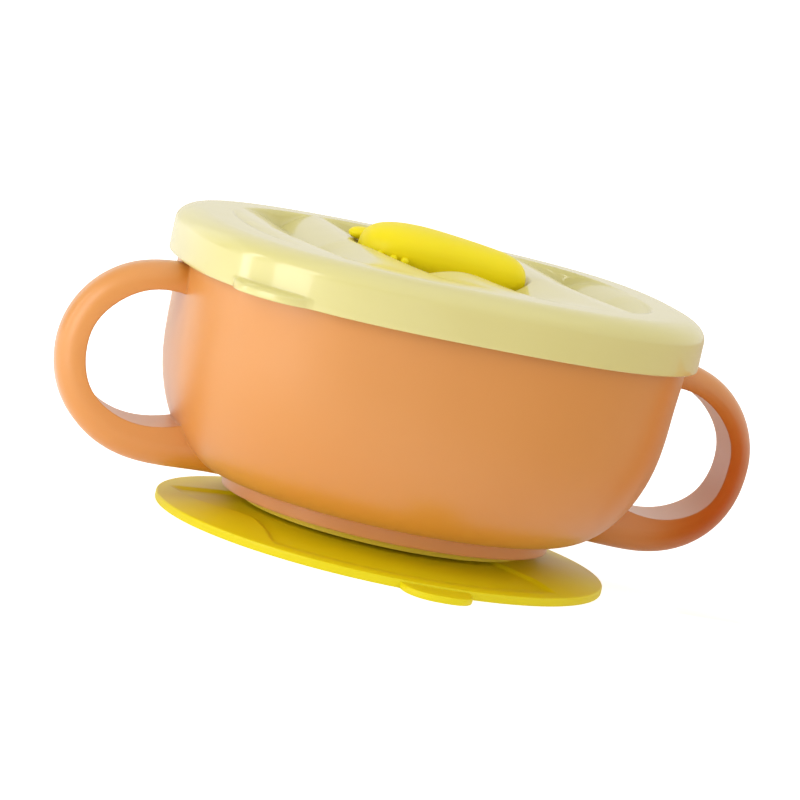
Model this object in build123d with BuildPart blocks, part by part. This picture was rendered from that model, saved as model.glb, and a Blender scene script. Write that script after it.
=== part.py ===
from build123d import *
import math
import os

os.makedirs("parts", exist_ok=True)

# Toddler suction bowl, in millimetres.
# Origin on the table under the middle of the bowl, +Z up, handles along X,
# the suction disc's pull tab towards -Y.

# ---- driving dimensions -------------------------------------------------
disc_radius = 57.0          # suction disc, edge to centre
disc_rim = 2.2              # thickness of the disc's free edge
disc_seat = 5.4             # height of the flat on the disc that carries the hub
disc_web = 2.5              # thickness of the disc under the hub
wing_step = 0.7             # how far the side wings stand above the front strip
strip_half = 36.0           # half width of the thin front strip
tab_width = 17.6            # pull tab on the disc's edge
tab_reach = 9.6
tab_shift = 1.2             # the tab sits a little to the right of the middle
tab_thickness = 1.7

hub_radius = 36.2           # rigid lock hub on top of the disc
hub_top = 10.6
boss_radius = 13.8          # hub boss that passes through the disc
post_radius = 8.0           # clamp plate post, pressed into the boss
press_interference = 0.02
plate_radius = 24.0         # clamp plate under the disc
plate_thickness = 1.6

foot_bottom = 7.4           # foot ring of the bowl
foot_radius = 41.5
foot_inner = 38.6
bowl_bottom = 11.0          # underside of the bowl, just outside the foot ring
belly_reach = 19.2          # the belly curves out by this much
belly_rise = 31.0           # while it rises by this much
bowl_wall = 2.6
floor_wall = 3.4            # the food hollow's floor above the underside
lug_count = 3
lug_angle = 30.0            # arc of one bayonet lug
lug_reach = 38.2
lug_low = 8.9
lug_high = 10.3
shelf_reach = 36.7          # inner radius of the bowl's bayonet shelves
shelf_top = 8.6
stop_angle = 3.0

rim_top = 69.5
rim_half = 62.3             # half width of the bowl from mid height to the rim
mouth_power = 2.6           # squareness of the rounded-square outlines at the top

handle_width = 12.6         # across the arm, along Y
handle_root_width = 18.0    # the lower root is wider
handle_round = 5.4          # rounded outer face
handle_edge = 0.9           # small rounds along the flat inner face

lid_half = 65.0
lid_bottom = 60.9           # lower edge of the skirt
lid_top = 73.0
lid_plate = 2.2             # thickness of the lid's top
skirt_wall = 2.0
lid_round = 4.6             # large round between skirt and top
plug_wall_half = 59.0       # inner wall that stands inside the mouth
plug_wall = 1.6
plug_wall_bottom = 66.0
pool_half = 51.5            # sunken middle of the lid
pool_depth = 4.4
wave_pitch = 25.0           # spacing of the moulded waves
wave_first = -47.0          # x of the leftmost crest
wave_count = 5
wave_reach = 46.0           # how far a crest runs towards each side of the pool
short_wave_end = -17.0      # the middle wave stops in front of the knob
lift_tab_width = 22.0
lift_tab_reach = 5.0
lift_tab_thickness = 2.0
lift_tab_angle = 222.5      # direction of the lift tab, degrees from +X

seal_gap = 0.1
knob_length = 42.4
knob_width = 24.0
knob_shift = 1.0            # middle of the knob, to the right of the lid's middle
knob_back = 4.0             # and a little behind it
vent_radius = 4.0
vent_clearance = 0.05
stem_length = 6.0

# Handle outlines in the XZ plane, from the upper root round to the lower root.
handle_outer = [(58.0, 60.1), (66.0, 59.9), (75.8, 57.6), (84.6, 51.0), (89.8, 39.9),
                (89.6, 30.6), (85.6, 21.3), (78.1, 14.3), (69.0, 10.9), (58.0, 10.3), (40.0, 10.2)]
handle_inner = [(58.0, 51.9), (64.0, 53.3), (71.2, 52.5), (78.0, 48.4), (82.9, 41.0),
                (83.3, 34.0), (80.9, 26.8), (75.0, 21.9), (67.0, 19.9), (60.0, 20.6), (53.0, 22.9)]


def rounded_square(half, power, count=40):
    """Points of a superellipse, evenly spaced by angle."""
    points = []
    for index in range(count):
        angle = 2 * math.pi * index / count
        spread = abs(math.cos(angle)) ** power + abs(math.sin(angle)) ** power
        radius = half / spread ** (1 / power)
        points.append((radius * math.cos(angle), radius * math.sin(angle)))
    return points


def arc_block(inner, outer, low, high, middle, spread):
    """Solid ring segment between two radii, centred on an angle in degrees."""
    with BuildPart() as block:
        with BuildSketch(Plane.XY.offset(low)):
            Circle(outer)
            Circle(inner, mode=Mode.SUBTRACT)
        extrude(amount=high - low)
        side = spread / 2
        split(bisect_by=Plane.XZ.rotated((0, 0, middle - side)), keep=Keep.BOTTOM)
        split(bisect_by=Plane.XZ.rotated((0, 0, middle + side)), keep=Keep.TOP)
    return block.part


def side_wall(half, wall, low, high):
    """Rounded-square tube, given its outer half width."""
    with BuildPart() as tube:
        with BuildSketch(Plane.XY.offset(low)):
            with BuildLine():
                Spline(*rounded_square(half, mouth_power), periodic=True)
            make_face()
            with BuildLine():
                Spline(*rounded_square(half - wall, mouth_power), periodic=True)
            make_face(mode=Mode.SUBTRACT)
        extrude(amount=high - low)
    return tube.part


def bowl_sections(low, half, reach, rise):
    """Height, half width and squareness at each level: a curved belly, then straight walls."""
    sections = []
    for share in (0.01, 0.06, 0.15, 0.3, 0.5, 0.75, 1.0, 1.3, 1.6):
        bend = min(share, 1.0)
        half_width = half - reach * (1 - math.sqrt(1 - (1 - bend) ** 2))
        squareness = 2 + (mouth_power - 2) * min(1.0, share / 1.6)
        sections.append((low + rise * share, half_width, squareness))
    sections.append((rim_top, half, mouth_power))
    return sections


def loft_sections(sections):
    """Smooth solid through rounded-square sections."""
    with BuildPart() as body:
        for height, half, power in sections:
            with BuildSketch(Plane.XY.offset(height)):
                with BuildLine():
                    Spline(*rounded_square(half, power), periodic=True)
                make_face()
        loft()
    return body.part


# ---- bowl: food hollow, belly, foot ring, handles, one moulding ----------
with BuildPart() as handle_pair:
    with BuildSketch(Plane.XZ.offset(-handle_root_width / 2)):
        with BuildLine():
            outer_line = Spline(*handle_outer)
            inner_line = Spline(*handle_inner)
            Line(outer_line @ 0, inner_line @ 0)
            Line(outer_line @ 1, inner_line @ 1)
        make_face()
    extrude(amount=handle_root_width)
    # the arm is narrow at the top and widens towards its lower root
    with BuildSketch(Plane.YZ.offset(40)):
        with BuildLine():
            Polyline(
                (-handle_width / 2, 70), (-handle_width / 2, 34), (-handle_root_width / 2, 15),
                (-handle_root_width / 2, 0), (handle_root_width / 2, 0), (handle_root_width / 2, 15),
                (handle_width / 2, 34), (handle_width / 2, 70), close=True)
        make_face()
        fillet(vertices().filter_by(lambda v: 10 < v.Y < 40), radius=12)
    extrude(amount=60, mode=Mode.INTERSECT)
    outer_face = faces().filter_by(lambda f: abs(f.center().Y) < 0.5).sort_by(Axis.X)[-1]
    fillet(outer_face.edges().filter_by(lambda e: abs(e.center().Y) > 5), radius=handle_round)
    middle_faces = faces().filter_by(lambda f: abs(f.center().Y) < 0.5 and f.center().X < 76)
    inner_face = middle_faces.sort_by(Axis.X)[-1]
    fillet(inner_face.edges().filter_by(lambda e: abs(e.center().Y) > 5), radius=handle_edge)
    mirror(about=Plane.YZ)

belly = loft_sections(bowl_sections(bowl_bottom, rim_half, belly_reach, belly_rise))
hollow_half = rim_half - bowl_wall
hollow_sections = bowl_sections(
    bowl_bottom + floor_wall, hollow_half, belly_reach - bowl_wall, belly_rise - floor_wall)
hollow = loft_sections(hollow_sections + [(rim_top + 1, hollow_half, mouth_power)])
lug_middles = [90 + index * 360 / lug_count for index in range(lug_count)]
shelves = [arc_block(shelf_reach, foot_inner + 0.5, foot_bottom, shelf_top, middle, lug_angle)
           for middle in lug_middles]
stop_offset = lug_angle / 2 + 0.6 + stop_angle / 2
stops = [arc_block(shelf_reach, foot_inner + 0.5, foot_bottom, bowl_bottom + 0.5,
                   middle + stop_offset, stop_angle) for middle in lug_middles]

with BuildPart() as bowl:
    add([belly, handle_pair.part])
    add(hollow, mode=Mode.SUBTRACT)
    # foot ring with a rounded lower edge
    with BuildSketch(Plane.XZ):
        with BuildLine():
            Polyline(
                (foot_inner, foot_bottom), (foot_radius, foot_bottom), (foot_radius, bowl_bottom + 1),
                (foot_inner, bowl_bottom + 1), close=True)
        make_face()
        lip = vertices().group_by(Axis.Z)[0]
        fillet(lip.sort_by(Axis.X)[-1], radius=1.2)
    revolve(axis=Axis.Z)
    # bayonet shelves and their stops, inside the foot ring
    add(shelves)
    add(stops)
bowl.part.label = "bowl"
export_step(bowl.part, "parts/bowl.step")

# ---- lid: skirt, inner wall, sunken pool with moulded waves, lift tab ------
pool_floor = lid_top - pool_depth
lid_under = lid_top - lid_plate
plug_block = side_wall(plug_wall_half, plug_wall, plug_wall_bottom, lid_under)

with BuildPart() as pool_space:
    with BuildSketch(Plane.XY.offset(pool_floor)):
        with BuildLine():
            Spline(*rounded_square(pool_half, mouth_power), periodic=True)
        make_face()
    extrude(amount=pool_depth + 1)

with BuildPart() as waves:
    for index in range(wave_count):
        crest = wave_first + index * wave_pitch
        near = wave_reach
        far = -short_wave_end if index == wave_count // 2 else -wave_reach
        with BuildSketch(Plane.XZ.offset(near)):
            with BuildLine():
                hump = ThreePointArc(
                    (crest - wave_pitch / 2, pool_floor - 0.5), (crest, lid_top - 0.1),
                    (crest + wave_pitch / 2, pool_floor - 0.5))
                Line(hump @ 0, hump @ 1)
            make_face()
        extrude(amount=far - near)
    # the pool's floor climbs to the rim on the near side
    with BuildSketch(Plane.YZ.offset(-pool_half)):
        with BuildLine():
            Polyline((-pool_half, pool_floor - 0.5), (short_wave_end, pool_floor - 0.5),
                     (-pool_half, lid_top - 0.4), close=True)
        make_face()
    extrude(amount=2 * pool_half)
    add(pool_space.part, mode=Mode.INTERSECT)
    # clear pocket that the knob sits in
    with BuildSketch(Plane.XY.offset(pool_floor)):
        with Locations((knob_shift, knob_back)):
            RectangleRounded(knob_length + 1.6, knob_width + 1.6, knob_width / 2)
    extrude(amount=pool_depth + 1, mode=Mode.SUBTRACT)

with BuildPart() as lid:
    with BuildSketch(Plane.XY.offset(lid_bottom)):
        with BuildLine():
            Spline(*rounded_square(lid_half, mouth_power), periodic=True)
        make_face()
    extrude(amount=lid_top - lid_bottom)
    fillet(faces().sort_by(Axis.Z)[-1].edges(), radius=lid_round)
    # lift tab on one corner of the skirt
    lid_corner = lid_half * 2 ** (0.5 - 1 / mouth_power)
    with BuildSketch(Plane.XY.offset(lid_bottom)):
        with Locations(Location((0, 0, 0), (0, 0, lift_tab_angle))):
            with Locations((lid_corner, 0)):
                RectangleRounded(2 * lift_tab_reach, lift_tab_width, lift_tab_reach - 0.4)
    extrude(amount=lift_tab_thickness)
    # hollow underside, leaving the plate
    with BuildSketch(Plane.XY.offset(lid_bottom)):
        with BuildLine():
            Spline(*rounded_square(lid_half - skirt_wall, mouth_power), periodic=True)
        make_face()
    extrude(amount=lid_under - lid_bottom, mode=Mode.SUBTRACT)
    # pan under the sunken pool
    with BuildSketch(Plane.XY.offset(pool_floor - lid_plate)):
        with BuildLine():
            Spline(*rounded_square(pool_half + skirt_wall, mouth_power), periodic=True)
        make_face()
    extrude(amount=lid_under - pool_floor + lid_plate + 0.5)
    add(plug_block)
    add(pool_space.part, mode=Mode.SUBTRACT)
    add(waves.part)
    # vent hole for the knob's stem
    with Locations((0, knob_back, pool_floor - lid_plate - 1)):
        Cylinder(vent_radius, lid_plate + 8, align=(Align.CENTER, Align.CENTER, Align.MIN),
                 mode=Mode.SUBTRACT)
lid.part.label = "lid"
export_step(lid.part, "parts/lid.step")

# ---- lid seal: flat silicone ring in the channel over the bowl's rim -------
lid_seal = side_wall(rim_half + 0.1, rim_half - plug_wall_half - 0.1, rim_top + seal_gap, lid_under)
lid_seal.label = "lid_seal"
export_step(lid_seal, "parts/lid_seal.step")

# ---- vent knob: plump sea-creature grip with a stem through the lid --------
# Cross sections along X: place, half width, half height.
knob_sections = [
    (-20.2, 1.0, 0.8), (-19.2, 5.0, 3.8), (-16.0, 9.4, 5.9), (-9.5, 11.8, 6.9), (-2.0, 12.0, 7.0),
    (6.0, 9.6, 5.9), (13.0, 9.0, 5.0), (18.0, 7.6, 4.2), (21.0, 4.6, 2.6), (22.2, 1.0, 0.7),
]
knob_middle = pool_floor + 4.2
with BuildPart() as knob:
    for place, half_width, half_height in knob_sections:
        with BuildSketch(Plane.YZ.offset(place)):
            with Locations((knob_back, knob_middle)):
                Ellipse(half_width, half_height)
    loft()
    split(bisect_by=Plane.XY.offset(pool_floor + 0.1), keep=Keep.TOP)
    stem_low = pool_floor - lid_plate - stem_length / 3
    with Locations((0, knob_back, stem_low)):
        Cylinder(vent_radius - vent_clearance, stem_length, align=(Align.CENTER, Align.CENTER, Align.MIN))
    fillet(edges().group_by(Axis.Z)[0], radius=0.8)
knob.part.label = "vent_knob"
export_step(knob.part, "parts/vent_knob.step")

# ---- suction disc: soft cup with side wings, thin front strip and tab ------
disc_under = disc_seat - disc_web
seat_edge = hub_radius + 0.8
wing_edge = disc_radius - 3.0
with BuildPart() as wings:
    with BuildSketch(Plane.XZ):
        with BuildLine():
            Polyline(
                (hub_radius - 4, disc_seat - wing_step - 0.4), (hub_radius - 4, disc_seat),
                (seat_edge, disc_seat), (wing_edge, disc_rim + wing_step + 0.2),
                (wing_edge + 0.6, disc_rim), close=True)
        make_face()
    revolve(axis=Axis.Z)
    with Locations((0, -disc_radius, disc_seat)):
        Box(2 * strip_half, 2 * disc_radius, 4 * disc_seat, mode=Mode.SUBTRACT)

with BuildPart() as suction_disc:
    with BuildSketch(Plane.XZ):
        with BuildLine():
            Polyline(
                (boss_radius + 0.1, disc_under), (hub_radius + 2, disc_under), (disc_radius - 7, 1.4),
                (disc_radius - 3.6, 0), (disc_radius, 0), (disc_radius, disc_rim),
                (wing_edge + 1.5, disc_rim), (seat_edge, disc_seat - wing_step),
                (boss_radius + 0.1, disc_seat - wing_step), close=True)
        make_face()
        fillet(vertices().group_by(Axis.X)[-1], radius=0.5)
    revolve(axis=Axis.Z)
    add(wings.part)
    # flat seat for the hub
    with BuildSketch(Plane.XY.offset(disc_under + 0.5)):
        Circle(hub_radius + 0.4)
        Circle(boss_radius + 0.1, mode=Mode.SUBTRACT)
    extrude(amount=disc_seat - disc_under - 0.5)
    # pull tab
    with BuildSketch():
        with Locations((tab_shift, -disc_radius)):
            RectangleRounded(tab_width, 2 * tab_reach, tab_width / 2 - 0.5)
        Circle(disc_radius - 3, mode=Mode.SUBTRACT)
    extrude(amount=tab_thickness)
suction_disc.part.label = "suction_disc"
export_step(suction_disc.part, "parts/suction_disc.step")

# ---- lock hub: rigid tray on the disc, with bayonet lugs -------------------
hub_floor = disc_seat + 2.0
hub_wall = 3.0
lugs = [arc_block(hub_radius - 1, lug_reach, lug_low, lug_high, middle, lug_angle) for middle in lug_middles]
with BuildPart() as lock_hub:
    with BuildSketch(Plane.XZ):
        with BuildLine():
            Polyline(
                (post_radius, disc_under), (boss_radius, disc_under), (boss_radius, disc_seat),
                (hub_radius, disc_seat), (hub_radius, hub_top), (hub_radius - hub_wall, hub_top),
                (hub_radius - hub_wall, hub_floor), (boss_radius, hub_floor), (boss_radius, hub_top - 0.8),
                (0, hub_top - 0.8), (0, hub_floor), (post_radius, hub_floor), close=True)
        make_face()
    revolve(axis=Axis.Z)
    add(lugs)
lock_hub.part.label = "lock_hub"
export_step(lock_hub.part, "parts/lock_hub.step")

# ---- clamp plate: holds the disc against the hub from below ----------------
with BuildPart() as clamp_plate:
    with Locations((0, 0, disc_under)):
        Cylinder(plate_radius, plate_thickness, align=(Align.CENTER, Align.CENTER, Align.MAX))
        Cylinder(post_radius + press_interference, hub_floor - disc_under - 0.3,
                 align=(Align.CENTER, Align.CENTER, Align.MIN))
    chamfer(edges().group_by(Axis.Z)[0], length=0.5)
    chamfer(edges().group_by(Axis.Z)[-1], length=0.4)
clamp_plate.part.label = "clamp_plate"
export_step(clamp_plate.part, "parts/clamp_plate.step")
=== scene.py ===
import math

import bmesh
import bpy
import numpy as np
from mathutils import Matrix, Vector


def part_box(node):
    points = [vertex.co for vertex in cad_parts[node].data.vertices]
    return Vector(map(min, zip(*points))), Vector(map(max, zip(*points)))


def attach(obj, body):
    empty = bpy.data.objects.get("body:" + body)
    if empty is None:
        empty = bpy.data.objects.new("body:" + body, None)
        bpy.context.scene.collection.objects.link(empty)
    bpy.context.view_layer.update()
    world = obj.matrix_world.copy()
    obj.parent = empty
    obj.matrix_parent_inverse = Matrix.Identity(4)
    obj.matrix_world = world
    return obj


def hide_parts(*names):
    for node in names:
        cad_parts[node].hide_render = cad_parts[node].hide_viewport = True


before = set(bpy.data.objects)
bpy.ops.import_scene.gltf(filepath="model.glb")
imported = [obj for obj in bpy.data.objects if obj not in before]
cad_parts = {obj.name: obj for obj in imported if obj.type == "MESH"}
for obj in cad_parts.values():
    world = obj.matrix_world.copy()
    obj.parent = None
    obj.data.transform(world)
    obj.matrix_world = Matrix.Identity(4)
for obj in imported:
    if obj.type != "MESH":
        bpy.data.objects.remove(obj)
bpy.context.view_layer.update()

MM = 0.001

# ---- camera at the photograph's angle --------------------------------------
CAMERA_SIDE = math.radians(14.87)      # to the left of the front
CAMERA_BACK = 987.1 * MM
CAMERA_HEIGHT = 163.8 * MM
CAMERA_HEADING = math.radians(14.73)
CAMERA_PITCH = math.radians(-7.35)
CAMERA_ROLL = math.radians(12.57)      # the picture is tilted, right side down
CAMERA_LENS = 180.0


def make_camera():
    data = bpy.data.cameras.new("camera")
    data.lens = CAMERA_LENS
    data.sensor_width = 36.0
    data.clip_start = 0.01
    camera = bpy.data.objects.new("camera", data)
    bpy.context.scene.collection.objects.link(camera)
    level = math.cos(CAMERA_PITCH)
    ahead = Vector((math.sin(CAMERA_HEADING) * level, math.cos(CAMERA_HEADING) * level,
                    math.sin(CAMERA_PITCH)))
    right = Vector((math.cos(CAMERA_HEADING), -math.sin(CAMERA_HEADING), 0))
    up = right.cross(ahead)
    tilted_right = right * math.cos(CAMERA_ROLL) + up * math.sin(CAMERA_ROLL)
    tilted_up = up * math.cos(CAMERA_ROLL) - right * math.sin(CAMERA_ROLL)
    turn = Matrix((tilted_right, tilted_up, -ahead)).transposed().to_4x4()
    place = Vector((-math.sin(CAMERA_SIDE), -math.cos(CAMERA_SIDE), 0)) * CAMERA_BACK
    place.z = CAMERA_HEIGHT
    camera.matrix_world = Matrix.Translation(place) @ turn
    bpy.context.scene.camera = camera


# ---- materials --------------------------------------------------------------
def moulded(name, colour, deep_colour, roughness, grain, skin=0.0, coat=0.0, coat_roughness=0.2,
            scatter=(1.0, 0.6, 0.3), blend=0.0, gloss_level=0.5, sheen=0.0):
    """Moulded plastic or silicone: cloudy colour, uneven gloss and a fine moulded skin.

    grain is the size of the surface texture in metres, skin the share of light that passes under
    the surface, blend the radius over which moulded corners look softened.
    """
    material = bpy.data.materials.new(name)
    material.use_nodes = True
    nodes = material.node_tree.nodes
    links = material.node_tree.links
    shader = nodes["Principled BSDF"]
    place = nodes.new("ShaderNodeTexCoord")

    # slow clouds between the two colours
    cloud = nodes.new("ShaderNodeTexNoise")
    cloud.inputs["Scale"].default_value = 26.0
    cloud.inputs["Detail"].default_value = 3.0
    links.new(place.outputs["Object"], cloud.inputs["Vector"])
    tint = nodes.new("ShaderNodeMix")
    tint.data_type = "RGBA"
    tint.inputs["A"].default_value = (*colour, 1)
    tint.inputs["B"].default_value = (*deep_colour, 1)
    links.new(cloud.outputs["Fac"], tint.inputs["Factor"])
    links.new(tint.outputs["Result"], shader.inputs["Base Color"])

    # uneven gloss
    polish = nodes.new("ShaderNodeTexNoise")
    polish.inputs["Scale"].default_value = 90.0
    polish.inputs["Detail"].default_value = 4.0
    links.new(place.outputs["Object"], polish.inputs["Vector"])
    gloss = nodes.new("ShaderNodeMapRange")
    gloss.inputs["To Min"].default_value = roughness - 0.05
    gloss.inputs["To Max"].default_value = roughness + 0.05
    links.new(polish.outputs["Fac"], gloss.inputs["Value"])
    links.new(gloss.outputs["Result"], shader.inputs["Roughness"])

    # fine moulded skin
    pores = nodes.new("ShaderNodeTexNoise")
    pores.inputs["Scale"].default_value = 1.0 / grain
    pores.inputs["Detail"].default_value = 2.0
    links.new(place.outputs["Object"], pores.inputs["Vector"])
    bump = nodes.new("ShaderNodeBump")
    bump.inputs["Strength"].default_value = 0.1
    bump.inputs["Distance"].default_value = 0.05 * MM
    links.new(pores.outputs["Fac"], bump.inputs["Height"])
    links.new(bump.outputs["Normal"], shader.inputs["Normal"])
    if blend:
        soft_corner = nodes.new("ShaderNodeBevel")
        soft_corner.samples = 6
        soft_corner.inputs["Radius"].default_value = blend
        links.new(soft_corner.outputs["Normal"], bump.inputs["Normal"])

    shader.inputs["Subsurface Weight"].default_value = skin
    shader.inputs["Subsurface Radius"].default_value = scatter
    shader.inputs["Subsurface Scale"].default_value = 3 * MM
    shader.inputs["Specular IOR Level"].default_value = gloss_level
    shader.inputs["Sheen Weight"].default_value = sheen
    shader.inputs["Coat Weight"].default_value = coat
    shader.inputs["Coat Roughness"].default_value = coat_roughness
    return material


bowl_plastic = moulded("bowl_plastic", (0.68, 0.265, 0.030), (0.66, 0.250, 0.026), 0.48, 0.45 * MM,
                       skin=0.1, coat=1.0, coat_roughness=0.36, blend=0.8 * MM, gloss_level=0.65,
                       sheen=0.06)
lid_plastic = moulded("lid_plastic", (0.70, 0.655, 0.26), (0.68, 0.63, 0.235), 0.42, 0.5 * MM, skin=0.15,
                      coat=0.8, coat_roughness=0.11, scatter=(1.0, 0.95, 0.5), gloss_level=0.7)
knob_silicone = moulded("knob_silicone", (0.93, 0.79, 0.001), (0.91, 0.76, 0.001), 0.46, 0.4 * MM,
                        skin=0.35, scatter=(1.0, 0.8, 0.05), gloss_level=0.3)
disc_silicone = moulded("disc_silicone", (0.80, 0.71, 0.002), (0.77, 0.68, 0.001), 0.42, 0.5 * MM,
                        skin=0.1, scatter=(1.0, 0.8, 0.05), gloss_level=0.35)
hub_plastic = moulded("hub_plastic", (0.92, 0.76, 0.03), (0.90, 0.74, 0.03), 0.45, 0.5 * MM)
seal_silicone = moulded("seal_silicone", (0.80, 0.79, 0.72), (0.76, 0.75, 0.68), 0.5, 0.5 * MM, skin=0.2)


def paint(piece, material):
    piece.data.materials.clear()
    piece.data.materials.append(material)


def smooth_piece(name, verts, faces, material):
    """Smooth-shaded mesh object; points that fall together are merged and the normals face outwards."""
    mesh = bpy.data.meshes.new(name)
    mesh.from_pydata(verts, [], faces)
    build = bmesh.new()
    build.from_mesh(mesh)
    bmesh.ops.remove_doubles(build, verts=build.verts, dist=0.002 * MM)
    bmesh.ops.recalc_face_normals(build, faces=build.faces)
    build.to_mesh(mesh)
    build.free()
    for face in mesh.polygons:
        face.use_smooth = True
    piece = bpy.data.objects.new(name, mesh)
    bpy.context.scene.collection.objects.link(piece)
    paint(piece, material)
    return piece


def grid_faces(rows, count):
    """Quads between rows of points that each run once round the piece."""
    faces = []
    for row in range(rows - 1):
        for index in range(count):
            after = (index + 1) % count
            faces.append((row * count + index, (row + 1) * count + index,
                          (row + 1) * count + after, row * count + after))
    return faces


def hand_over(piece, node, body):
    """The piece stands for a CAD node on a body."""
    if node:
        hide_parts(node)
    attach(piece, body)


def smooth_step(low, high, value):
    share = min(1.0, max(0.0, (value - low) / (high - low)))
    return share * share * (3 - 2 * share)


def squarish(half, power, angle):
    """Radius of a rounded square at an angle."""
    spread = abs(math.cos(angle)) ** power + abs(math.sin(angle)) ** power
    return half / spread ** (1 / power)


def quarter(start, end, steps, hollow=False):
    """Points of an elliptical quarter round from start to end, both (half width, height)."""
    points = []
    for step in range(1, steps + 1):
        turn = math.pi / 2 * step / steps
        along, down = math.sin(turn), 1 - math.cos(turn)
        if hollow:
            along, down = 1 - math.cos(turn), math.sin(turn)
        points.append((start[0] + (end[0] - start[0]) * along, start[1] + (end[1] - start[1]) * down))
    return points


# ---- lid ---------------------------------------------------------------------
lid_low, lid_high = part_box("lid")
LID_TOP = lid_high.z
LID_BOTTOM = lid_low.z - 0.1 * MM   # the moulded lip hangs just below the plain CAD skirt
LID_HALF = lid_high.x
LID_POWER = 2.6          # squareness of the lid's outline
EDGE_IN = 7.0 * MM       # the round between the top and the skirt
EDGE_DOWN = 4.6 * MM
POOL_HALF = 51.5 * MM
POOL_DEPTH = 4.4 * MM
POOL_ROUND = 0.7 * MM
POOL_RINGS = 170
LID_WALL = 2 * MM        # skirt and pan walls
LID_PLATE = 2.2 * MM
PLUG_HALF = 59 * MM      # the inner wall that stands in the bowl's mouth
PLUG_WALL = 1.6 * MM
PLUG_DEPTH = 7 * MM
LID_POINTS = 400         # points round the lid's outline
NO_RADIUS = 1e-6         # rings of this radius close into a point
# Crest line of each moulded wave: place along X, width of its left flank and of its right flank (mm).
WAVES = [(-47.0, 10.0, 15.0), (-22.0, 10.0, 11.0), (-2.2, 10.5, 12.0), (28.0, 12.0, 15.0), (52.0, 10.0, 12.0)]
FLANK_POWER = 1.8        # how sharp the crests are
WAVE_TURN = 0.12         # the crests swing to the right towards the front
WAVE_TURN_START = 3 * MM
SHORT_WAVE = 2           # the middle wave stops in front of the knob
SHORT_WAVE_END = -18 * MM
SHORT_WAVE_RUN = 4 * MM
SLOPE_FRONT = -49 * MM   # the valleys run out almost flat here
SLOPE_BACK = -4 * MM     # and have their full depth from here on
FRONT_DEPTH = 0.03       # what is left of the depth at the front
KNOB_MIDDLE = Vector((1.0, 4.0)) * MM
KNOB_POCKET = Vector((22.2, 13.4)) * MM
POCKET_POWERS = (3, 2.6)         # squareness of the pocket's outline
POCKET_FLANK = (0.94, 1.12)      # its wall, from the foot to the edge
STEM_PLACE = Vector((0.0, 4.0)) * MM
VENT_RADIUS = 4 * MM
STEM_POINTS = 48
TAB_ANGLE = math.radians(222.5)
TAB_HALF = 11.4 * MM
TAB_REACH = 4.0 * MM
TAB_CORNER = 1.08        # the outline's radius at the tab over its half width
# The tab swells out of the skirt's lower edge: height over the edge (mm), share of its reach.
TAB_SWELL = [(4.0, 0), (2.9, 0), (2.7, 0.04), (2.5, 0.2), (2.3, 0.5), (2.1, 0.8), (1.9, 0.95), (1.6, 1)]


def wave_depth(x, y):
    """How far the moulded waves lie under the lid's top."""
    trough = 1.0
    swing = WAVE_TURN * max(0.0, WAVE_TURN_START - y)
    for number, (crest, left, right) in enumerate(WAVES):
        offset = x - crest * MM - swing
        width = left if offset < 0 else right
        flank = min(1.0, (abs(offset) / (width * MM)) ** FLANK_POWER)
        if number == SHORT_WAVE:
            low, high = SHORT_WAVE_END - SHORT_WAVE_RUN, SHORT_WAVE_END + SHORT_WAVE_RUN
            flank += (1 - flank) * smooth_step(low, high, y)
        trough = min(trough, flank)
    slope = min(1.0, max(0.0, (y - SLOPE_FRONT) / (SLOPE_BACK - SLOPE_FRONT)))
    depth = POOL_DEPTH * trough * (FRONT_DEPTH + (1 - FRONT_DEPTH) * slope)
    reach = (abs((x - KNOB_MIDDLE.x) / KNOB_POCKET.x) ** POCKET_POWERS[0]
             + abs((y - KNOB_MIDDLE.y) / KNOB_POCKET.y) ** POCKET_POWERS[1])
    pocket = 1 - smooth_step(*POCKET_FLANK, reach)
    return depth + (POOL_DEPTH - depth) * pocket


def lid_height(x, y):
    spread = (abs(x) ** LID_POWER + abs(y) ** LID_POWER) ** (1 / LID_POWER)
    inside = 1 - smooth_step(POOL_HALF - POOL_ROUND, POOL_HALF, spread)
    return LID_TOP - wave_depth(x, y) * inside


def lift_tab(angle):
    """How far the lift tab stands out of the skirt at an angle."""
    along = abs(angle - TAB_ANGLE) * LID_HALF * TAB_CORNER / TAB_HALF
    return TAB_REACH * (1 - along ** 3) if along < 1 else 0.0


def lathe(name, outline, middle, count, material):
    """Turned piece about a vertical axis, from points (radius, height)."""
    verts = []
    for radius, height in outline:
        for index in range(count):
            angle = 2 * math.pi * index / count
            verts.append((middle.x + radius * math.cos(angle), middle.y + radius * math.sin(angle), height))
    return smooth_piece(name, verts, grid_faces(len(outline), count), material)


def cut_vent(lid):
    """Vent hole for the knob's stem."""
    floor = LID_TOP - POOL_DEPTH
    low = floor - 4 * MM
    high = floor + 2 * MM
    outline = [(NO_RADIUS, low), (VENT_RADIUS, low), (VENT_RADIUS, high), (NO_RADIUS, high)]
    cutter = lathe("vent_cutter", outline, STEM_PLACE, STEM_POINTS, lid_plastic)
    cut = lid.modifiers.new("vent", "BOOLEAN")
    cut.operation = "DIFFERENCE"
    cut.solver = "EXACT"
    cut.object = cutter
    seen = lid.evaluated_get(bpy.context.evaluated_depsgraph_get())
    mesh = bpy.data.meshes.new_from_object(seen)
    lid.modifiers.clear()
    lid.data = mesh
    bpy.data.objects.remove(cutter)


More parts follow.
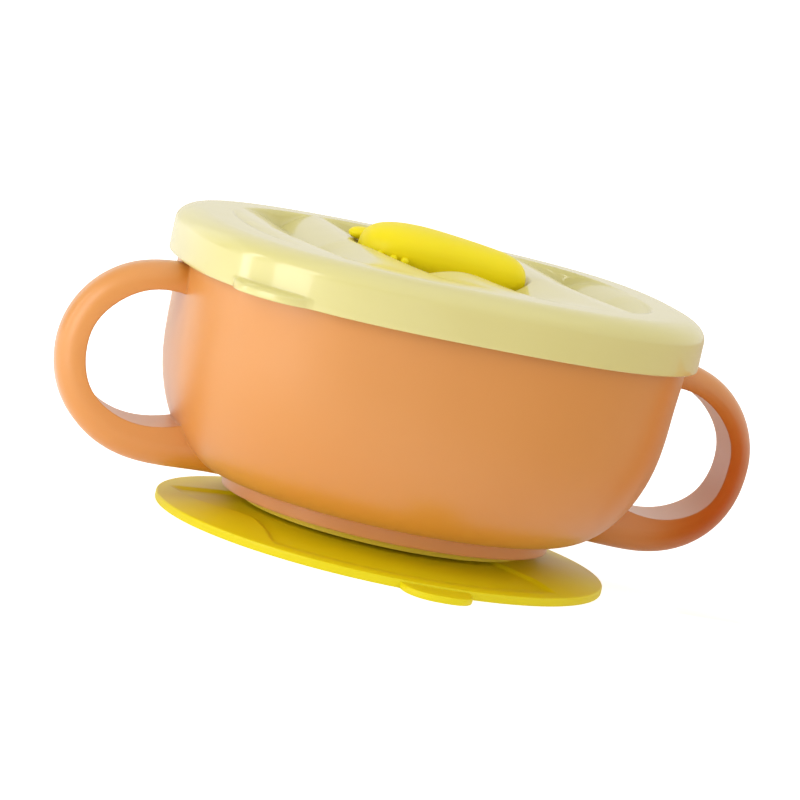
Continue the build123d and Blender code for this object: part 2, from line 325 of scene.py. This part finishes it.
def make_lid():
    """Rings from the middle of the pool over the edge, round the skirt and back under the lid.

    Each ring has its half width, its height (None on the moulded top) and its share of the lift tab.
    """
    rings = [(NO_RADIUS, None, 0)]
    rings += [(POOL_HALF * (index + 1) / POOL_RINGS, None, 0) for index in range(POOL_RINGS)]
    flat_half = LID_HALF - EDGE_IN
    flat_width = flat_half - POOL_HALF
    rings += [(POOL_HALF + flat_width * share, LID_TOP, 0) for share in (0.1, 0.4, 0.7, 1.0)]
    edge = quarter((flat_half, LID_TOP), (LID_HALF, LID_TOP - EDGE_DOWN), 16)
    rings += [(*point, 0) for point in edge]
    rings += [(LID_HALF, LID_BOTTOM + rise * MM, share) for rise, share in TAB_SWELL]
    lip = 0.5 * MM
    rings += [(LID_HALF, LID_BOTTOM + lip, 1)]
    lip_round = quarter((LID_HALF, LID_BOTTOM + lip), (LID_HALF - lip, LID_BOTTOM), 4, hollow=True)
    rings += [(*point, 1) for point in lip_round]
    inner = LID_HALF - LID_WALL
    under = LID_TOP - LID_PLATE
    wall_in = PLUG_HALF - PLUG_WALL
    wall_low = LID_TOP - PLUG_DEPTH
    pan = POOL_HALF + LID_WALL
    pan_under = LID_TOP - POOL_DEPTH - LID_PLATE
    pan_round = 1.5 * MM
    soft = 0.3 * MM
    skirt = [(inner + soft, LID_BOTTOM), (inner, LID_BOTTOM + soft), (inner, under - soft),
             (inner - soft, under)]
    plug = [(PLUG_HALF + soft, under), (PLUG_HALF, under - soft), (PLUG_HALF, wall_low + soft),
            (PLUG_HALF - soft, wall_low), (wall_in + soft, wall_low), (wall_in, wall_low + soft),
            (wall_in, under - soft), (wall_in - soft, under)]
    middle = [(pan + soft, under), (pan, under - soft), (pan, pan_under + pan_round),
              (pan - pan_round, pan_under), (5 * MM, pan_under), (NO_RADIUS, pan_under)]
    rings += [(*point, 0) for point in skirt + plug + middle]
    verts = []
    for half, height, tab in rings:
        for index in range(LID_POINTS):
            angle = 2 * math.pi * index / LID_POINTS
            radius = squarish(half, LID_POWER, angle) + tab * lift_tab(angle)
            x, y = radius * math.cos(angle), radius * math.sin(angle)
            verts.append((x, y, lid_height(x, y) if height is None else height))
    lid = smooth_piece("lid_shell", verts, grid_faces(len(rings), LID_POINTS), lid_plastic)
    cut_vent(lid)
    hand_over(lid, "lid", "lid_body")


# ---- knob --------------------------------------------------------------------
# Cross sections from head to tail: place along X, middle along Y, half width, top above the lid (mm).
KNOB_SECTIONS = [
    (-20.2, 4.0, 0.6, -0.4), (-19.9, 4.0, 3.6, 1.6), (-18.6, 4.0, 6.6, 3.8), (-15.5, 4.1, 9.8, 5.6),
    (-10.5, 4.2, 11.6, 6.5), (-4.0, 4.1, 11.9, 6.6), (3.5, 3.6, 10.6, 6.0), (11.5, 3.0, 9.2, 5.1),
    (17.0, 2.7, 8.3, 4.2), (20.3, 2.6, 6.6, 2.8), (22.0, 2.6, 4.0, 0.9), (22.4, 2.6, 0.8, -0.8),
]
KNOB_POWER = 2.3         # squareness of the knob's cross sections
KNOB_BELLY = 0.56        # half height of a cross section over its height above the pocket
KNOB_POINTS = 96
KNOB_SLICES = 120
FIN_PLACE = (-17.6, 13.8, 1.2)       # the last number of these places is the height above the lid (mm)
FIN_RADII = (3.8, 3.2, 1.7)
FIN_TURN = 20
TOE_PLACES = [(-17.0, -5.4, -1.1), (-13.9, -7.3, -1.4), (-11.2, -8.3, -1.4)]
TOE_RADII = (1.0, 1.1, 0.9)


def soft_curve(points, count):
    """Points along a smooth curve through the given ones."""
    table = np.array(points, float)
    ends = np.vstack([2 * table[0] - table[1], table, 2 * table[-1] - table[-2]])
    result = []
    for share in np.linspace(0, len(table) - 1, count):
        first = min(int(share), len(table) - 2)
        t = share - first
        a, b, c, d = ends[first:first + 4]
        result.append(0.5 * (2 * b + (c - a) * t + (2 * a - 5 * b + 4 * c - d) * t ** 2
                             + (3 * b - a - 3 * c + d) * t ** 3))
    return result


def blob(name, place, radii, turn):
    """Small ellipsoid on the knob, in millimetres, turned about Z."""
    build = bmesh.new()
    middle = Vector(place) * MM + Vector((0, 0, LID_TOP))
    where = Matrix.Translation(middle) @ Matrix.Rotation(math.radians(turn), 4, "Z")
    stretch = Matrix.Diagonal((*[radius * MM for radius in radii], 1.0))
    bmesh.ops.create_icosphere(build, subdivisions=4, radius=1.0, matrix=where @ stretch)
    mesh = bpy.data.meshes.new(name)
    build.to_mesh(mesh)
    build.free()
    for face in mesh.polygons:
        face.use_smooth = True
    piece = bpy.data.objects.new(name, mesh)
    bpy.context.scene.collection.objects.link(piece)
    paint(piece, knob_silicone)
    hand_over(piece, None, "knob_body")


def make_knob():
    """Plump sea creature: a broad head at the left, a tapering body and a round tail."""
    floor = LID_TOP - POOL_DEPTH + 0.1 * MM
    sections = soft_curve(KNOB_SECTIONS, KNOB_SLICES)
    verts = []
    for x, middle, half_width, rise in sections:
        top = LID_TOP + rise * MM
        half_height = (top - floor) * KNOB_BELLY
        centre = top - half_height
        for index in range(KNOB_POINTS):
            angle = 2 * math.pi * index / KNOB_POINTS
            radius = squarish(1.0, KNOB_POWER, angle)
            y = (middle + half_width * radius * math.cos(angle)) * MM
            z = max(floor, centre + half_height * radius * math.sin(angle))
            verts.append((x * MM, y, z))
    faces = grid_faces(len(sections), KNOB_POINTS)
    faces.append(tuple(range(KNOB_POINTS)))
    faces.append(tuple(range((len(sections) - 1) * KNOB_POINTS, len(sections) * KNOB_POINTS))[::-1])
    knob = smooth_piece("knob_grip", verts, faces, knob_silicone)
    hand_over(knob, "vent_knob", "knob_body")
    stem_half = VENT_RADIUS - 0.05 * MM
    stem_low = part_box("vent_knob")[0].z
    stem_high = floor + 1 * MM
    soft = 0.8 * MM
    crisp = 0.2 * MM
    outline = [(NO_RADIUS, stem_low), (stem_half - soft, stem_low)]
    outline += quarter((stem_half - soft, stem_low), (stem_half, stem_low + soft), 5)
    outline += [(stem_half, stem_high - crisp), (stem_half - crisp, stem_high), (NO_RADIUS, stem_high)]
    stem = lathe("knob_stem", outline, STEM_PLACE, STEM_POINTS, knob_silicone)
    hand_over(stem, None, "knob_body")
    blob("knob_fin", FIN_PLACE, FIN_RADII, FIN_TURN)
    for index, place in enumerate(TOE_PLACES):
        blob(f"knob_toe_{index}", place, TOE_RADII, 0)


# ---- suction disc --------------------------------------------------------------
disc_low, disc_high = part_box("suction_disc")
DISC_RADIUS = disc_high.x
DISC_RIM = 2.2 * MM
DISC_EDGE = 0.5 * MM
DISC_BORE = 13.9 * MM
DISC_PLATE = 2.5 * MM
DISC_SLOPE_RINGS = 56
DISC_POINTS = 480
CUP_RADIUS = 38.2 * MM   # the flat roof of the cup under the disc
LIP_POINTS = [(53.4 * MM, 0), (50 * MM, 1.4 * MM)]   # inner side of the lip that stands on the table
SEAT_RADIUS = 37 * MM
SEAT_TOP = disc_high.z
STEP = 0.75 * MM
STEP_WIDTH = 1.1 * MM
STEP_FADE = (50 * MM, 55 * MM)   # the recess runs out between these radii
# Left edge of the recess, from the rim round behind the foot (mm).
RECESS_EDGE = [(-36.5, -57.0), (-36.1, -30.0), (-37.2, -21.0), (-40.0, -15.5), (-44.5, -9.6), (-47.9, -3.8),
               (-50.6, 5.0), (-52.0, 13.4), (-52.0, 30.0)]
# Its straight edges at the back and at the right: a point on each, and the slope.
BACK_POINT = Vector((-50, 15)) * MM
BACK_SLOPE = -0.6
RIGHT_POINT = Vector((29, -29)) * MM
RIGHT_SLOPE = 0.56
PULL_MIDDLE = Vector((1.2, -56.0)) * MM
PULL_HALF_WIDTH = 8.8 * MM
PULL_TOP = 1.7 * MM
PULL_EDGE = 0.45 * MM
PULL_POWER = 2.5
PULL_POINTS = 120


def recess(x, y):
    """1 in the recess in front of the hub, 0 on the raised wings."""
    edge_y = [point[1] * MM for point in RECESS_EDGE]
    edge_x = [point[0] * MM for point in RECESS_EDGE]
    left = smooth_step(0, STEP_WIDTH, x - float(np.interp(y, edge_y, edge_x)))
    back = smooth_step(0, STEP_WIDTH, BACK_POINT.y + (x - BACK_POINT.x) * BACK_SLOPE - y)
    right = smooth_step(0, STEP_WIDTH, RIGHT_POINT.x + (RIGHT_POINT.y - y) * RIGHT_SLOPE - x)
    return left * back * right


def disc_height(x, y, radius):
    slope = min(1.0, max(0.0, (radius - SEAT_RADIUS) / (DISC_RADIUS - DISC_EDGE - SEAT_RADIUS)))
    run_out = 1 - smooth_step(*STEP_FADE, radius)
    return SEAT_TOP + (DISC_RIM - SEAT_TOP) * slope - STEP * recess(x, y) * run_out


def make_disc():
    """Rings from the bore out over the top, round the rim and back underneath; None is the shaped top."""
    under = SEAT_TOP - DISC_PLATE
    slope_width = DISC_RADIUS - 2 * DISC_EDGE - SEAT_RADIUS
    rings = [(DISC_BORE, None), (SEAT_RADIUS * 0.6, None), (SEAT_RADIUS, None)]
    rings += [(SEAT_RADIUS + slope_width * index / DISC_SLOPE_RINGS, None)
              for index in range(1, DISC_SLOPE_RINGS + 1)]
    rings += [(DISC_RADIUS - DISC_EDGE, DISC_RIM)]
    rings += quarter((DISC_RADIUS - DISC_EDGE, DISC_RIM), (DISC_RADIUS, DISC_RIM - DISC_EDGE), 5)
    rings += [(DISC_RADIUS, DISC_EDGE)]
    rings += quarter((DISC_RADIUS, DISC_EDGE), (DISC_RADIUS - DISC_EDGE, 0), 5, hollow=True)
    rings += LIP_POINTS + [(CUP_RADIUS, under), (DISC_BORE, under), (DISC_BORE, None)]
    verts = []
    for radius, height in rings:
        for index in range(DISC_POINTS):
            angle = 2 * math.pi * index / DISC_POINTS
            x, y = radius * math.cos(angle), radius * math.sin(angle)
            verts.append((x, y, disc_height(x, y, radius) if height is None else height))
    disc = smooth_piece("disc_skin", verts, grid_faces(len(rings), DISC_POINTS), disc_silicone)
    hand_over(disc, "suction_disc", "base")


def make_pull_tab():
    """Flat rounded tab on the disc's front edge, from points (share of its reach, height)."""
    reach = PULL_MIDDLE.y - disc_low.y
    flat = 1 - PULL_EDGE / reach
    profile = [(0.0, PULL_TOP), (0.6, PULL_TOP), (flat, PULL_TOP)]
    profile += quarter((flat, PULL_TOP), (1.0, PULL_TOP - PULL_EDGE), 5)
    profile += [(1.0, PULL_EDGE)]
    profile += quarter((1.0, PULL_EDGE), (flat, 0), 5, hollow=True)
    profile += [(0.0, 0.0)]
    verts = []
    for share, height in profile:
        for index in range(PULL_POINTS):
            angle = 2 * math.pi * index / PULL_POINTS
            radius = squarish(max(share, 1e-4), PULL_POWER, angle)
            verts.append((PULL_MIDDLE.x + PULL_HALF_WIDTH * radius * math.cos(angle),
                          PULL_MIDDLE.y + reach * radius * math.sin(angle), height))
    tab = smooth_piece("pull_tab", verts, grid_faces(len(profile), PULL_POINTS), disc_silicone)
    hand_over(tab, None, "base")


# ---- stage --------------------------------------------------------------------
FLOOR_REACH = 40.0
BOUNCE_HEIGHT = -0.5 * MM
CARD_LEFT, CARD_RIGHT, CARD_Y, CARD_TOP = 0.073, 0.130, -0.024, 0.058
CARD_COLOUR = (0.8, 0.20, 0.03)
# Each gradient: X where it starts and ends, colour on its left and on its right.
BOUNCE_GRADIENT = (0.0, 0.12, (0.97, 0.97, 0.97), (0.55, 0.42, 0.32))
STUDIO_GRADIENT = (-0.9, 0.0, (0.2, 0.17, 0.15), (1.02, 0.98, 0.92))
STUDIO_POWER = 0.88
# Each window: place, width and height (m), power (W).
WINDOWS = {
    "window_wide": ((-0.413, -0.18, 0.17), (0.21, 0.34), 0.78),
    "window_narrow": ((-0.437, 0.08, 0.17), (0.06, 0.34), 0.30),
    "rim_left": ((-0.45, 0.75, 0.3), (0.5, 0.6), 0.35),
}
LIGHT_TARGET = Vector((0, 0, 0.05))


def soft_light(name, place, size, power):
    data = bpy.data.lights.new(name, "AREA")
    data.shape = "RECTANGLE"
    data.size, data.size_y = size
    data.energy = power
    light = bpy.data.objects.new(name, data)
    light.location = place
    light.rotation_mode = "QUATERNION"
    aim = LIGHT_TARGET - Vector(place)
    light.rotation_quaternion = aim.to_track_quat("-Z", "Y")
    bpy.context.scene.collection.objects.link(light)


def wide_light(name, towards, power, spread):
    data = bpy.data.lights.new(name, "SUN")
    data.energy = power
    data.angle = math.radians(spread)
    light = bpy.data.objects.new(name, data)
    light.rotation_mode = "QUATERNION"
    light.rotation_quaternion = Vector(towards).to_track_quat("-Z", "Y")
    bpy.context.scene.collection.objects.link(light)


def matte(name, colour, glow):
    """Paper without gloss; glow is the white light it gives off itself."""
    material = bpy.data.materials.new(name)
    material.use_nodes = True
    shader = material.node_tree.nodes["Principled BSDF"]
    shader.inputs["Base Color"].default_value = (*colour, 1)
    shader.inputs["Roughness"].default_value = 0.9
    shader.inputs["Specular IOR Level"].default_value = 0.0
    shader.inputs["Emission Color"].default_value = (1, 1, 1, 1)
    shader.inputs["Emission Strength"].default_value = glow
    return material


def stage_sheet(name, corners, material, seen):
    """Flat sheet of the stage; a sheet that isn't seen only gives light back to the object."""
    mesh = bpy.data.meshes.new(name)
    mesh.from_pydata(corners, [], [(0, 1, 2, 3)])
    sheet = bpy.data.objects.new(name, mesh)
    bpy.context.scene.collection.objects.link(sheet)
    mesh.materials.append(material)
    sheet.visible_camera = seen
    sheet.visible_diffuse = not seen
    sheet.visible_glossy = not seen
    sheet.visible_shadow = not seen


def side_gradient(tree, output, low, high, left, right):
    """Colour that changes from left to right; low and high are the X where it starts and ends."""
    place = tree.nodes.new("ShaderNodeTexCoord")
    split = tree.nodes.new("ShaderNodeSeparateXYZ")
    side = tree.nodes.new("ShaderNodeMapRange")
    side.inputs["From Min"].default_value = low
    side.inputs["From Max"].default_value = high
    shade = tree.nodes.new("ShaderNodeMix")
    shade.data_type = "RGBA"
    shade.inputs["A"].default_value = (*left, 1)
    shade.inputs["B"].default_value = (*right, 1)
    tree.links.new(place.outputs[output], split.inputs["Vector"])
    tree.links.new(split.outputs["X"], side.inputs["Value"])
    tree.links.new(side.outputs["Result"], shade.inputs["Factor"])
    return shade.outputs["Result"]


def floor_corners(height):
    return [(-FLOOR_REACH, -FLOOR_REACH, height), (FLOOR_REACH, -FLOOR_REACH, height),
            (FLOOR_REACH, FLOOR_REACH, height), (-FLOOR_REACH, FLOOR_REACH, height)]


def make_stage():
    white = matte("floor_white", (0.8, 0.8, 0.8), glow=0.75)
    stage_sheet("floor", floor_corners(0), white, seen=True)
    bounce = matte("floor_bounce", (0.9, 0.9, 0.9), glow=0.16)
    stage_sheet("floor_bounce", floor_corners(BOUNCE_HEIGHT), bounce, seen=False)
    card = [(CARD_LEFT, CARD_Y, 0.0), (CARD_RIGHT, CARD_Y, 0.0), (CARD_RIGHT, CARD_Y, CARD_TOP),
            (CARD_LEFT, CARD_Y, CARD_TOP)]
    stage_sheet("warm_card", card, matte("warm_card", CARD_COLOUR, glow=0.0), seen=False)
    tree = bounce.node_tree
    shade = side_gradient(tree, "Object", *BOUNCE_GRADIENT)
    tree.links.new(shade, tree.nodes["Principled BSDF"].inputs["Base Color"])

    # a studio that is dark at the far left and even from the middle to the right
    world = bpy.data.worlds.new("studio")
    world.use_nodes = True
    tree = world.node_tree
    shade = side_gradient(tree, "Generated", *STUDIO_GRADIENT)
    tree.links.new(shade, tree.nodes["Background"].inputs["Color"])
    tree.nodes["Background"].inputs["Strength"].default_value = STUDIO_POWER
    bpy.context.scene.world = world
    wide_light("ceiling", towards=(0.15, 0.3, -1.0), power=0.45, spread=80)
    for name, (place, size, power) in WINDOWS.items():
        soft_light(name, place, size, power)
    bpy.context.scene.view_settings.view_transform = "Standard"


make_camera()
make_stage()
make_lid()
make_knob()
make_disc()
make_pull_tab()
for node, material in (("bowl", bowl_plastic), ("lid_seal", seal_silicone), ("lock_hub", hub_plastic),
                       ("clamp_plate", hub_plastic)):
    paint(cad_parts[node], material)
